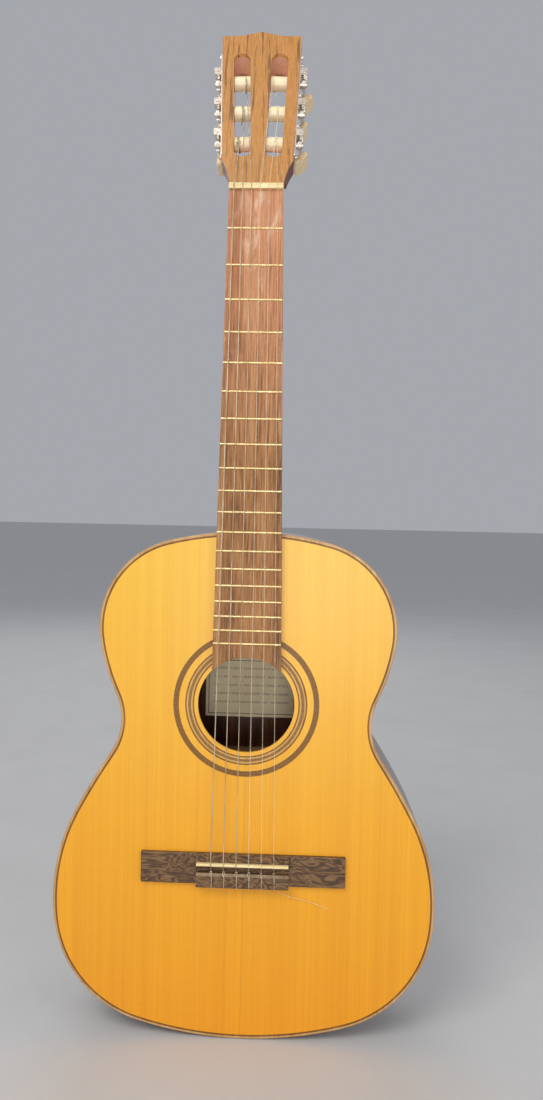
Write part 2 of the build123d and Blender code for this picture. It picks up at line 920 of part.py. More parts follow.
with BuildPart() as gear_shape:
    with BuildSketch(Plane.XY.offset(gear_back)):
        Circle(gear_root_r)
        with PolarLocations(0, gear_teeth):
            with BuildLine():
                Polyline(
                    (gear_root_r - 0.3, -gear_thick_at_root / 2),
                    (gear_tip_r, -gear_thick_at_tip / 2),
                    (gear_tip_r, gear_thick_at_tip / 2),
                    (gear_root_r - 0.3, gear_thick_at_root / 2),
                    close=True,
                )
            make_face()
    extrude(amount=gear_w)
    with BuildSketch(Plane.XY.offset(stub_start)):
        Circle(hub_r)
    extrude(amount=gear_back - stub_start)
    with BuildSketch(Plane.XY.offset(stub_start - past)):
        Circle(stub_r)
    extrude(amount=gear_face - stub_start + past, mode=Mode.SUBTRACT)
    with BuildSketch(Plane.XY.offset(gear_face)):
        Circle(gear_screw_r)
    extrude(amount=gear_screw_h)
    with BuildSketch(Plane.XY.offset(gear_face + gear_screw_h)):
        Rectangle(2 * gear_screw_r, 0.8)
    extrude(amount=-0.6, mode=Mode.SUBTRACT)

with BuildPart() as worm_thread:
    for step in range(worm_turns * worm_steps + 1):
        turn = step / worm_steps
        angle = 2 * pi * turn + pi
        with BuildSketch(Plane.XY.offset((turn - worm_turns / 2) * worm_pitch)):
            with Locations((worm_throw * cos(angle), worm_throw * sin(angle))):
                Circle(worm_r)
    loft(ruled=True)

thread_half = worm_turns * worm_pitch / 2
collar_end = tab_near - 0.1

with BuildPart() as worm_shape:
    add(worm_thread.part)
    for low, high, radius in (
        (-tab_far - 0.6, button_gap + button_grip, shaft_r),
        (-collar_end, -thread_half, collar_r),
        (thread_half, collar_end, collar_r),
    ):
        with BuildSketch(Plane.XY.offset(low)):
            Circle(radius)
        extrude(amount=high - low)


with BuildPart() as button_shape:
    with BuildSketch(Plane.XZ.offset(-button_t / 2)):
        with BuildLine():
            Spline(*button_outline, tangents=((1, 0), (-1, 0)))
            mirror(about=Plane.YZ)
        make_face()
    extrude(amount=button_t)
    fillet(button_shape.edges().filter_by(Axis.Y, reverse=True), button_round)
    with BuildSketch(Plane.XY):
        Circle(button_neck_r)
    extrude(amount=button_neck_len)
    with BuildSketch(Plane.XY.offset(-past)):
        Circle(shaft_r)
    extrude(amount=button_grip + past, mode=Mode.SUBTRACT)

for number, (side, index) in enumerate(machines, 1):
    at_side = machine_plane(side, index).location
    at_worm = worm_plane(side, index).location
    at_button = at_worm * Location((0, 0, button_gap), (0, 0, button_turns[number - 1]))
    for place, shape, name in (
        (at_side, roller_shape, "tuner_roller"),
        (at_side, gear_shape, "tuner_gear"),
        (at_worm, worm_shape, "tuner_worm"),
        (at_button, button_shape, "tuner_button"),
    ):
        with BuildPart() as piece:
            with Locations(place):
                add(shape.part)
        save(piece, f"{name}_{number}")
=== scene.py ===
import json
from math import cos, pi, radians, sin

import bmesh
import bpy
from mathutils import Matrix, Vector


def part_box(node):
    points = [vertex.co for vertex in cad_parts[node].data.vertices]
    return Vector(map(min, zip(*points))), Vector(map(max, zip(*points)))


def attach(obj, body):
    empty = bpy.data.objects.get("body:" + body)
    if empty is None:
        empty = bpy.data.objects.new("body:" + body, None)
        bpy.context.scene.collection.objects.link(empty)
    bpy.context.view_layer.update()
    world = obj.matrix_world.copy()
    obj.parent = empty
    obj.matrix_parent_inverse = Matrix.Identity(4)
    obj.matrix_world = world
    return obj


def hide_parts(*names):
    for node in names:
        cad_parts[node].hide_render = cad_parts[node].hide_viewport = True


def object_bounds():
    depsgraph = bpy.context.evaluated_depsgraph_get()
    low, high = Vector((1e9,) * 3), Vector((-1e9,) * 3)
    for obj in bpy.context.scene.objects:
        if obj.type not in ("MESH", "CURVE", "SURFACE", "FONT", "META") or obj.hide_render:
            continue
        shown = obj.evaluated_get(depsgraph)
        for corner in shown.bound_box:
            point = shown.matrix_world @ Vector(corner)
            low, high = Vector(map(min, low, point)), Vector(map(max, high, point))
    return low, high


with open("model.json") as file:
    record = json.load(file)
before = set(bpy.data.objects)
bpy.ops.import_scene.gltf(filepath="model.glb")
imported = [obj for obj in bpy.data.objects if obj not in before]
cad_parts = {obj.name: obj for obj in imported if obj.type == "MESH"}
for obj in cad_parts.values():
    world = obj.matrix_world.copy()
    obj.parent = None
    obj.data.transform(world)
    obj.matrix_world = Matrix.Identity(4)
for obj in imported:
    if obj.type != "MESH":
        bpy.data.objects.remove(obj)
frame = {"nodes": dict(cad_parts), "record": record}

cad_box = [list(corner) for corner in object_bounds()]

# ---------------------------------------------------------------------------
# Sizes, in metres, in the CAD frame: +Z up the neck, +X treble, +Y to the back
# ---------------------------------------------------------------------------
MM = 0.001
HOLE_Z = -0.4937
SLOT_MIDDLE = (17.0 * MM, 93.0 * MM)     # across and up, at the middle of a slot
SLOT_SLOPE = 0.037                       # the slots spread apart up the head
SLOT_HALF = 8.6 * MM
SLOT_DEPTH = 14.0 * MM                   # down from the head's front face
HEAD_TILT = radians(15.0)
HEAD_FOOT = (-1.0 * MM, 6.0 * MM)        # y and z where the head's front plane starts
FLOOR_HALF = 40.0
CAMERA_PLACE = (0.0470, -0.7754, -0.3099)
CAMERA_RIGHT = (0.99921, 0.03355, 0.02123)
CAMERA_UP = (-0.02258, 0.04021, 0.99894)
CAMERA_REACH = 50.0
LENS_MM = 26.18
SENSOR_MM = 36.0
STRING_R = [0.36 * MM, 0.41 * MM, 0.52 * MM, 0.38 * MM, 0.45 * MM, 0.55 * MM]
ROLLER_X = [18.0 * MM, 19.0 * MM, 12.0 * MM, -14.0 * MM, -15.0 * MM, -18.0 * MM]
ROLLER_R = 6.9 * MM
ROLLER_GAP = 0.3 * MM
BRIDGE_SPREAD = 61.5 * MM
TIE_HOLE_Y = -5.4 * MM
BUTTON_GAP = 23.5 * MM
BUTTON_TURNS = [42.0, 20.0, 60.0, 12.0, 8.0, 6.0]
# Winding on each roller: turns, and +1 where the coils go away from the centre
WINDINGS = [(2.2, -1), (2.2, -1), (1.6, 1), (1.4, 1), (2.3, 1), (2.1, 1)]
WINDING_STEPS = 16                       # points in one turn
LIFT_STEPS = 4                           # points over which the lift to the roller falls away
COIL_PITCH = 2.15                        # in string radii
KNOT_STEPS = 24

# Depth of relief, in metres
POLISH_MARKS = 0.00002
INLAY_JOINTS = 0.00004
CLOSED_GRAIN = 0.00006
OPEN_GRAIN = 0.00008

# Straight-grained timber
GRAIN = (420, 420, 7)                    # frequency on each axis, long up the neck
STREAK_GRAIN = 0.16                      # of the grain's frequency
PORE_GRAIN = 2.4
STREAK_SHARE = 0.5
STREAK_WARP = 0.6

nodes = frame["nodes"]
joints = {joint["name"]: joint for joint in frame["record"]["behaviour"]["joints"]}


def node_top(name):
    """Highest corner of a CAD node."""
    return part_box(name)[1]


def node_low(name):
    """Lowest corner of a CAD node."""
    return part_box(name)[0]


# ---------------------------------------------------------------------------
# Camera
# ---------------------------------------------------------------------------
def make_camera():
    """Camera in front of the soundboard, level with the lower neck."""
    data = bpy.data.cameras.new("camera")
    data.sensor_fit = "VERTICAL"
    data.sensor_height = SENSOR_MM
    data.lens = LENS_MM
    data.clip_end = CAMERA_REACH
    camera = bpy.data.objects.new("camera", data)
    bpy.context.collection.objects.link(camera)
    right = Vector(CAMERA_RIGHT)
    up = Vector(CAMERA_UP)
    back = right.cross(up)
    turn = Matrix((right, up, back)).transposed().to_4x4()
    camera.matrix_world = Matrix.Translation(CAMERA_PLACE) @ turn
    bpy.context.scene.camera = camera


# ---------------------------------------------------------------------------
# Material helpers
# ---------------------------------------------------------------------------
def linear(red, green, blue):
    """Scene colour of an sRGB colour given from 0 to 255."""
    channels = []
    for value in (red, green, blue):
        part = value / 255
        channels.append(part / 12.92 if part <= 0.04045 else ((part + 0.055) / 1.055) ** 2.4)
    return (*channels, 1.0)


class Shader:
    """A node material under construction, with short calls for its usual nodes."""

    def __init__(self, name):
        self.material = bpy.data.materials.new(name)
        self.material.use_nodes = True
        self.tree = self.material.node_tree
        self.surface = self.tree.nodes["Principled BSDF"]
        self.place = self.tree.nodes.new("ShaderNodeTexCoord").outputs["Object"]

    def put(self, socket, value):
        """Set a socket, or link it where the value is another node's output."""
        if isinstance(value, bpy.types.NodeSocket):
            self.tree.links.new(value, socket)
        else:
            socket.default_value = value

    def set(self, **values):
        """Set the surface's own inputs; underscores stand for spaces."""
        for name, value in values.items():
            self.put(self.surface.inputs[name.replace("_", " ")], value)

    def scaled(self, scale):
        """Coordinates stretched by a factor along each axis."""
        node = self.tree.nodes.new("ShaderNodeMapping")
        self.put(node.inputs["Vector"], self.place)
        node.inputs["Scale"].default_value = scale
        return node.outputs["Vector"]

    def noise(self, vector, detail=4.0, rough=0.55, warp=0.0):
        """Smooth noise of unit scale."""
        node = self.tree.nodes.new("ShaderNodeTexNoise")
        self.put(node.inputs["Vector"], vector)
        node.inputs["Scale"].default_value = 1.0
        node.inputs["Detail"].default_value = detail
        node.inputs["Roughness"].default_value = rough
        node.inputs["Distortion"].default_value = warp
        return node.outputs["Fac"]

    def wave(self, vector):
        """Parallel bands of unit scale, stacked up the neck."""
        node = self.tree.nodes.new("ShaderNodeTexWave")
        node.bands_direction = "Z"
        self.put(node.inputs["Vector"], vector)
        node.inputs["Scale"].default_value = 1.0
        node.inputs["Distortion"].default_value = 0.0
        node.inputs["Detail"].default_value = 2.0
        return node.outputs["Fac"]

    def cells(self, vector):
        """Distance to the nearest of scattered points."""
        node = self.tree.nodes.new("ShaderNodeTexVoronoi")
        self.put(node.inputs["Vector"], vector)
        node.inputs["Scale"].default_value = 1.0
        node.inputs["Randomness"].default_value = 1.0
        return node.outputs["Distance"]

    def math(self, operation, first, second=0.0):
        """One arithmetic step."""
        node = self.tree.nodes.new("ShaderNodeMath")
        node.operation = operation
        self.put(node.inputs[0], first)
        self.put(node.inputs[1], second)
        return node.outputs[0]

    def step(self, value, low, high, first=0.0, last=1.0):
        """Value carried from one range to another, and kept inside it."""
        node = self.tree.nodes.new("ShaderNodeMapRange")
        self.put(node.inputs["Value"], value)
        node.inputs["From Min"].default_value = low
        node.inputs["From Max"].default_value = high
        node.inputs["To Min"].default_value = first
        node.inputs["To Max"].default_value = last
        return node.outputs["Result"]

    def axes(self):
        """The three coordinates apart."""
        node = self.tree.nodes.new("ShaderNodeSeparateXYZ")
        self.put(node.inputs[0], self.place)
        return node.outputs["X"], node.outputs["Y"], node.outputs["Z"]

    def joined(self, x, y, z):
        """A vector from three values."""
        node = self.tree.nodes.new("ShaderNodeCombineXYZ")
        for socket, value in zip(node.inputs, (x, y, z)):
            self.put(socket, value)
        return node.outputs[0]

    def ramp(self, value, *stops):
        """Colour ramp: each stop is a place and a colour."""
        node = self.tree.nodes.new("ShaderNodeValToRGB")
        self.put(node.inputs["Fac"], value)
        elements = node.color_ramp.elements
        while len(elements) < len(stops):
            elements.new(0.5)
        for element, (position, colour) in zip(elements, stops):
            element.position = position
            element.color = colour
        return node.outputs["Color"]

    def mix(self, amount, first, second, blend="MIX"):
        """Two colours blended."""
        node = self.tree.nodes.new("ShaderNodeMix")
        node.data_type = "RGBA"
        node.blend_type = blend
        self.put(node.inputs["Factor"], amount)
        self.put(node.inputs[6], first)
        self.put(node.inputs[7], second)
        return node.outputs[2]

    def bump(self, height, depth, strength=1.0):
        """Small relief, in metres."""
        node = self.tree.nodes.new("ShaderNodeBump")
        node.inputs["Strength"].default_value = strength
        node.inputs["Distance"].default_value = depth
        self.put(node.inputs["Height"], height)
        self.put(self.surface.inputs["Normal"], node.outputs["Normal"])


# ---------------------------------------------------------------------------
# Materials
# ---------------------------------------------------------------------------
def spruce():
    """Soundboard: aged orange-yellow spruce with fine straight grain."""
    make = Shader("spruce")
    x, _, z = make.axes()
    # Painted shade: the soundboard is coloured lighter towards the upper bout and darker, more orange
    # towards the lower bout, standing in for how the light falls across it.
    height = make.step(z, -0.83, -0.36)
    body = make.ramp(
        height,
        (0.0, linear(247, 168, 20)),
        (0.45, linear(250, 182, 34)),
        (1.0, linear(253, 204, 70)),
    )
    rings = make.noise(make.scaled((640, 640, 2.2)), detail=5.0, rough=0.7)
    lines = make.ramp(
        rings,
        (0.32, linear(228, 184, 132)),
        (0.5, linear(246, 232, 210)),
        (0.7, linear(255, 252, 242)),
    )
    wide = make.noise(make.scaled((90, 90, 0.9)), detail=2.0)
    tint = make.ramp(wide, (0.3, linear(240, 224, 200)), (0.7, linear(255, 254, 248)))
    colour = make.mix(0.35, body, lines, "MULTIPLY")
    colour = make.mix(0.4, colour, tint, "MULTIPLY")
    silk = make.noise(make.scaled((30, 30, 260)), detail=3.0, rough=0.6)
    sheen = make.ramp(silk, (0.35, linear(190, 150, 90)), (0.65, linear(255, 255, 245)))
    colour = make.mix(0.03, colour, sheen, "MULTIPLY")
    joint = make.step(make.math("ABSOLUTE", x), 0.0002, 0.0007, 0.2, 0.0)
    colour = make.mix(joint, colour, linear(150, 88, 30))
    dents = make.step(make.cells(make.scaled((24, 24, 20))), 0.014, 0.022, 0.35, 0.0)
    colour = make.mix(dents, colour, linear(150, 92, 34))
    make.set(Base_Color=colour, Roughness=make.step(rings, 0.3, 0.7, 0.36, 0.46))
    make.set(Coat_Weight=0.35, Coat_Roughness=0.22, Specular_IOR_Level=0.4)
    make.bump(make.math("SUBTRACT", rings, dents), CLOSED_GRAIN, 0.5)
    return make.material


def slot_lining(make):
    """Mask of the bare walls and ramps inside the head's slots."""
    x, y, z = make.axes()
    spread = make.math("MULTIPLY", make.math("SUBTRACT", z, SLOT_MIDDLE[1]), SLOT_SLOPE)
    from_middle = make.math("SUBTRACT", make.math("ABSOLUTE", x), make.math("ADD", spread, SLOT_MIDDLE[0]))
    within = make.step(make.math("ABSOLUTE", from_middle), SLOT_HALF, SLOT_HALF + 0.2 * MM, 0.8, 0.0)
    back = make.math("MULTIPLY", make.math("SUBTRACT", y, HEAD_FOOT[0]), cos(HEAD_TILT))
    lift = make.math("MULTIPLY", make.math("SUBTRACT", z, HEAD_FOOT[1]), sin(HEAD_TILT))
    depth = make.math("SUBTRACT", back, lift)
    shallow = make.step(depth, SLOT_DEPTH, SLOT_DEPTH + 3 * MM, 1.0, 0.0)
    above_nut = make.step(z, 0.026, 0.028)
    return make.math("MULTIPLY", make.math("MULTIPLY", within, shallow), above_nut)


def wood(name, dark, middle, light, rough=0.42, coat=0.25, pores=0.4, slot_tone=None):
    """Straight-grained timber with streaks and open pores; slot_tone colours the head's slots."""
    make = Shader(name)
    broad = make.noise(make.scaled([value * STREAK_GRAIN for value in GRAIN]), detail=3.0, warp=STREAK_WARP)
    fine = make.noise(make.scaled(GRAIN), detail=5.0, rough=0.7, warp=0.2)
    blend = make.math("ADD", make.math("MULTIPLY", broad, STREAK_SHARE),
                      make.math("MULTIPLY", fine, 1 - STREAK_SHARE))
    colour = make.ramp(blend, (0.34, dark), (0.5, middle), (0.66, light))
    if slot_tone:
        colour = make.mix(slot_lining(make), colour, slot_tone)
    pore = make.noise(make.scaled([value * PORE_GRAIN for value in GRAIN]), detail=2.0, rough=0.5)
    pore_mask = make.step(pore, 0.30, 0.40, pores, 0.0)
    colour = make.mix(pore_mask, colour, [channel * 0.3 for channel in dark[:3]] + [1.0])
    make.set(Base_Color=colour, Roughness=make.step(fine, 0.3, 0.7, rough - 0.06, rough + 0.08))
    make.set(Coat_Weight=coat, Coat_Roughness=0.18, Specular_IOR_Level=0.4)
    make.bump(make.math("SUBTRACT", fine, pore_mask), CLOSED_GRAIN, 0.45)
    return make.material


def worn_fingerboard():
    """Rosewood, paler and redder in the low positions where fingers wear it."""
    make = Shader("fingerboard_wood")
    _, _, z = make.axes()
    fine = make.noise(make.scaled((620, 620, 24)), detail=5.0, rough=0.72)
    broad = make.noise(make.scaled((75, 75, 3.5)), detail=3.0, warp=0.8)
    blend = make.math("ADD", make.math("MULTIPLY", broad, 0.4), make.math("MULTIPLY", fine, 0.6))
    low = make.ramp(
        blend,
        (0.38, linear(84, 50, 26)),
        (0.49, linear(158, 108, 64)),
        (0.64, linear(208, 158, 104)),
    )
    high = make.ramp(
        blend,
        (0.34, linear(140, 86, 54)),
        (0.5, linear(200, 138, 98)),
        (0.66, linear(226, 176, 136)),
    )
    colour = make.mix(make.step(z, -0.26, -0.05), low, high)
    patches = make.noise(make.scaled((42, 42, 19)), detail=4.0, rough=0.65, warp=0.9)
    near_nut = make.step(z, -0.19, -0.02)
    worn = make.math("MULTIPLY", make.step(patches, 0.53, 0.64, 0.0, 0.75), near_nut)
    colour = make.mix(worn, colour, linear(232, 196, 172))
    make.set(Base_Color=colour, Roughness=make.step(fine, 0.3, 0.7, 0.48, 0.62), Specular_IOR_Level=0.35)
    make.bump(fine, OPEN_GRAIN, 0.5)
    return make.material


def figured_rosewood():
    """Bridge: dark rosewood with swirling figure on its wings."""
    make = Shader("bridge_wood")
    swirl = make.noise(make.scaled((22, 50, 64)), detail=2.0, warp=1.2)
    _, _, z = make.axes()
    phase = make.math("ADD", make.math("MULTIPLY", swirl, 60.0), make.math("MULTIPLY", z, 420.0))
    lines = make.math("SINE", phase)
    fine = make.noise(make.scaled((240, 700, 700)), detail=4.0, rough=0.7)
    blend = make.math("ADD", make.step(lines, -1.0, 1.0, 0.0, 0.45), make.math("MULTIPLY", fine, 0.55))
    colour = make.ramp(
        blend,
        (0.15, linear(50, 32, 17)),
        (0.5, linear(100, 71, 42)),
        (0.85, linear(146, 111, 70)),
    )
    make.set(Base_Color=colour, Roughness=make.step(blend, 0.2, 0.8, 0.38, 0.55))
    make.set(Coat_Weight=0.12, Coat_Roughness=0.3)
    make.bump(blend, OPEN_GRAIN, 0.4)
    return make.material


def head_wood():
    """Head veneer: light brown with thin dark streaks up the head."""
    make = Shader("head_veneer_wood")
    streaks = make.noise(make.scaled((330, 60, 4.5)), detail=4.0, rough=0.62, warp=0.5)
    fine = make.noise(make.scaled((900, 300, 26)), detail=4.0, rough=0.7)
    base = make.ramp(
        fine,
        (0.3, linear(172, 114, 54)),
        (0.5, linear(196, 136, 68)),
        (0.72, linear(212, 154, 84)),
    )
    dark = make.step(streaks, 0.38, 0.45, 0.75, 0.0)
    colour = make.mix(dark, base, linear(112, 68, 34))
    make.set(Base_Color=colour, Roughness=0.4, Coat_Weight=0.25, Coat_Roughness=0.2)
    make.bump(fine, CLOSED_GRAIN, 0.4)
    return make.material


def inlay(name, dark, light, teeth):
    """Rosette ring of short end-grain pieces set round the sound hole."""
    make = Shader(name)
    x, _, z = make.axes()
    off = make.math("SUBTRACT", z, HOLE_Z)
    angle = make.math("ARCTAN2", off, x)
    far = make.math("SQRT", make.math("ADD", make.math("MULTIPLY", x, x), make.math("MULTIPLY", off, off)))
    around = make.math("MULTIPLY", angle, teeth / (2 * pi))
    place = make.joined(around, make.math("MULTIPLY", far, 900.0), 0.0)
    pieces = make.noise(place, detail=2.0, rough=0.6)
    colour = make.ramp(pieces, (0.3, dark), (0.7, light))
    make.set(Base_Color=colour, Roughness=0.45, Coat_Weight=0.1, Coat_Roughness=0.2)
    make.bump(pieces, INLAY_JOINTS, 0.3)
    return make.material


def bone():
    """Aged bone or cream plastic with faint streaks."""
    make = Shader("bone")
    vague = make.noise(make.scaled((60, 400, 400)), detail=3.0)
    colour = make.ramp(
        vague,
        (0.3, linear(236, 206, 140)),
        (0.6, linear(252, 232, 180)),
        (0.8, linear(255, 244, 208)),
    )
    make.set(Base_Color=colour, Roughness=0.34, Subsurface_Weight=0.12, Coat_Weight=0.2)
    make.surface.inputs["Subsurface Scale"].default_value = 0.002
    return make.material


def cream_plastic(name, tone, shade):
    """Moulded plastic gone yellow, with soft mottling and fine scratches."""
    make = Shader(name)
    mottle = make.noise(make.scaled((160, 160, 160)), detail=3.0)
    scratch = make.noise(make.scaled((2600, 900, 260)), detail=2.0)
    colour = make.ramp(mottle, (0.35, shade), (0.62, tone))
    make.set(Base_Color=colour, Roughness=make.step(scratch, 0.35, 0.65, 0.26, 0.40))
    make.set(Coat_Weight=0.25, Coat_Roughness=0.12)
    make.bump(scratch, POLISH_MARKS, 0.25)
    return make.material


def metal(name, tone, shade, rough):
    """Plated metal with tarnish in patches and fine polish marks."""
    make = Shader(name)
    tarnish = make.noise(make.scaled((260, 260, 260)), detail=5.0, rough=0.65)
    marks = make.noise(make.scaled((1400, 1400, 1400)), detail=3.0, rough=0.6)
    colour = make.ramp(tarnish, (0.36, shade), (0.58, tone))
    make.set(Base_Color=colour, Metallic=1.0)
    make.set(Roughness=make.step(tarnish, 0.35, 0.65, rough + 0.18, rough))
    make.bump(marks, POLISH_MARKS, 0.3)
    return make.material


def nylon():
    """Clear nylon string."""
    make = Shader("nylon")
    along = make.noise(make.scaled((900, 900, 60)), detail=2.0)
    colour = make.ramp(along, (0.3, linear(238, 226, 190)), (0.7, linear(254, 250, 236)))
    make.set(Base_Color=colour, Roughness=0.22, Transmission_Weight=0.5, IOR=1.3, Alpha=0.4)
    return make.material


def wound():
    """Bass string: fine wire wound round a core, so it is ribbed along its length."""
    make = Shader("wound_string")
    ribs = make.wave(make.scaled((0, 0, 1500)))
    worn = make.noise(make.scaled((300, 300, 30)), detail=3.0)
    colour = make.ramp(
        worn,
        (0.35, linear(188, 170, 132)),
        (0.6, linear(222, 210, 184)),
        (0.8, linear(246, 240, 226)),
    )
    make.set(Base_Color=colour, Metallic=0.75, Roughness=0.3)
    make.bump(ribs, OPEN_GRAIN, 0.6)
    return make.material


def label_paper():
    """Aged paper with a plain ruled border and bands of print that spell nothing."""
    make = Shader("label_paper")
    x, _, z = make.axes()
    low, high = node_low("paper_label"), node_top("paper_label")
    fibre = make.noise(make.scaled((500, 500, 500)), detail=5.0, rough=0.7)
    stain = make.noise(make.scaled((30, 30, 30)), detail=4.0)
    paper = make.ramp(fibre, (0.3, linear(246, 228, 188)), (0.7, linear(255, 243, 210)))
    paper = make.mix(make.step(stain, 0.45, 0.7, 0.0, 0.3), paper, linear(222, 204, 170))
    edge_x = make.math("SUBTRACT", high[0], make.math("ABSOLUTE", x))
    half_high = (high[2] - low[2]) / 2
    from_middle = make.math("ABSOLUTE", make.math("SUBTRACT", z, (high[2] + low[2]) / 2))
    edge_z = make.math("SUBTRACT", half_high, from_middle)
    edge = make.math("MINIMUM", edge_x, edge_z)
    rule = make.math("MULTIPLY", make.step(edge, 0.0028, 0.0030), make.step(edge, 0.0038, 0.0036))
    inside = make.step(edge, 0.009, 0.0094)
    bands = make.step(make.wave(make.scaled((0, 0, 34))), 0.80, 0.86)
    breaks = make.step(make.noise(make.scaled((260, 0, 40)), detail=1.0), 0.42, 0.46)
    print_mask = make.math("MULTIPLY", make.math("MULTIPLY", bands, breaks), inside)
    ink = make.math("MAXIMUM", rule, make.math("MULTIPLY", print_mask, 0.35))
    colour = make.mix(ink, paper, linear(150, 108, 80))
    make.set(Base_Color=colour, Roughness=0.85, Specular_IOR_Level=0.2)
    make.bump(fibre, OPEN_GRAIN, 0.4)
    return make.material


def make_materials():
    """One material for each of the record's slots."""
    return {
        "spruce": spruce(),
        "rosette_brown": inlay("rosette_brown", linear(98, 60, 12), linear(156, 106, 34), 260),
        "rosette_red": inlay("rosette_red", linear(108, 70, 22), linear(168, 122, 50), 180),
        "dark_line": wood(
            "dark_line", linear(96, 58, 18), linear(128, 82, 28), linear(154, 104, 40),
            pores=0.2, coat=0.05,
        ),
        "tan_line": wood(
            "tan_line", linear(176, 122, 52), linear(208, 158, 80), linear(228, 186, 112),
            pores=0.1,
        ),
        "binding_wood": wood(
            "binding_wood", linear(168, 122, 72), linear(200, 154, 98), linear(222, 182, 126),
            pores=0.15,
        ),
        "rosewood": wood(
            "rosewood", linear(34, 17, 13), linear(74, 38, 26), linear(112, 62, 40),
            coat=0.5, rough=0.3,
        ),
        "inner_wood": wood(
            "inner_wood", linear(140, 104, 62), linear(182, 144, 94), linear(208, 174, 124),
            coat=0.0, rough=0.7,
        ),
        "label_paper": label_paper(),
        "mahogany": wood(
            "mahogany", linear(78, 34, 20), linear(118, 60, 38), linear(150, 86, 56),
            coat=0.12, rough=0.46,
            slot_tone=linear(228, 168, 138),
        ),
        "head_veneer": head_wood(),
        "fingerboard_wood": worn_fingerboard(),
        "fret_brass": metal("fret_brass", linear(250, 232, 180), linear(222, 192, 126), rough=0.26),
        "bone": bone(),
        "tie_strip_wood": wood(
            "tie_strip_wood", linear(112, 94, 72), linear(148, 126, 98), linear(176, 154, 122),
            pores=0.1,
        ),
        "bridge_wood": figured_rosewood(),
        "nylon": nylon(),
        "wound_string": wound(),
        "tuner_metal": metal("tuner_metal", linear(242, 232, 222), linear(196, 182, 166), rough=0.28),
        "button_cream": cream_plastic("button_cream", linear(252, 226, 182), linear(246, 214, 164)),
        "roller_cream": cream_plastic("roller_cream", linear(255, 244, 208), linear(255, 236, 192)),
    }


def dress_nodes(materials):
    """Give each CAD node the material of its slot in the record."""
    for entry in frame["record"]["subparts"]:
        for slot in nodes[entry["node"]].material_slots:
            slot.material = materials[entry["material_slot"]]


# ---------------------------------------------------------------------------
# Pieces: threads
# ---------------------------------------------------------------------------
def thread(name, points, radius, body, slot):
    """A round string along a smooth curve through its control points."""
    curve = bpy.data.curves.new(name, "CURVE")
    curve.dimensions = "3D"
    curve.resolution_u = 6
    curve.bevel_depth = radius
    curve.bevel_resolution = 4
    curve.use_fill_caps = True
    spline = curve.splines.new("NURBS")
    spline.points.add(len(points) - 1)
    for point, place in zip(spline.points, points):
        point.co = (*place, 1.0)
    spline.order_u = 3
    spline.use_endpoint_u = True
    piece = bpy.data.objects.new(name, curve)
    bpy.context.collection.objects.link(piece)
    curve.materials.append(materials[slot])
    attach(piece, body)
    return piece


def string_slot(number):
    """Trebles are nylon and basses are wound."""
    return "nylon" if number <= 3 else "wound_string"


def machine_axes(number):
    """A machine's roller axis outwards, the way up the head, the front and the roller's place."""
    roller = joints[f"roller_{number}_turn"]
    button = joints[f"button_{number}_turn"]
    side = 1 if number <= 3 else -1
    out = Vector(roller["axis"]) * side
    front = -Vector(button["axis"])
    along = front.cross(out) * side
    return out, along * side, front, Vector(roller["pos_m"])


def wind_string(number):
    """Turns of a string round its roller, with its knot and loose end."""
    out, along, front, middle = machine_axes(number)
    radius = STRING_R[number - 1]
    turns, outward = WINDINGS[number - 1]
    start = (ROLLER_X[number - 1] - middle.x) / out.x
    reach = ROLLER_R + radius
    points = []
    for index in range(1, int(turns * WINDING_STEPS) + 1):
        angle = 2 * pi * index / WINDING_STEPS
        lift = ROLLER_GAP * max(0.0, 1 - index / LIFT_STEPS)
        across = start + outward * COIL_PITCH * radius * angle / (2 * pi)
        ring = (front * cos(angle) + along * sin(angle)) * (reach + lift)
        points.append(middle + out * across + ring)
    tail = points[-1] - points[-2]
    tail.normalize()
    away = (points[-1] - middle - out * (points[-1] - middle).dot(out)).normalized()
    points.append(points[-1] + tail * 2.0 * MM + away * 0.3 * MM + out * outward * 0.4 * MM)
    points.append(points[-1] + tail * 2.5 * MM + away * 0.5 * MM + out * outward * 0.8 * MM)
    body = f"roller_{number}"
    thread(f"string_winding_{number}", points, radius, body, string_slot(number))
    knot_at = points[-3] + away * 0.5 * radius
    knot = []
    for index in range(KNOT_STEPS + 1):
        t = 2 * pi * index / KNOT_STEPS
        knot.append(
            knot_at
            + out * radius * (sin(t) + 1.2 * sin(2 * t)) * 0.7
            + tail * radius * (cos(t) - 1.2 * cos(2 * t)) * 0.7
            + away * (radius * 0.6 * sin(3 * t) + radius)
        )
    thread(f"string_knot_{number}", knot, radius * 0.9, body, string_slot(number))


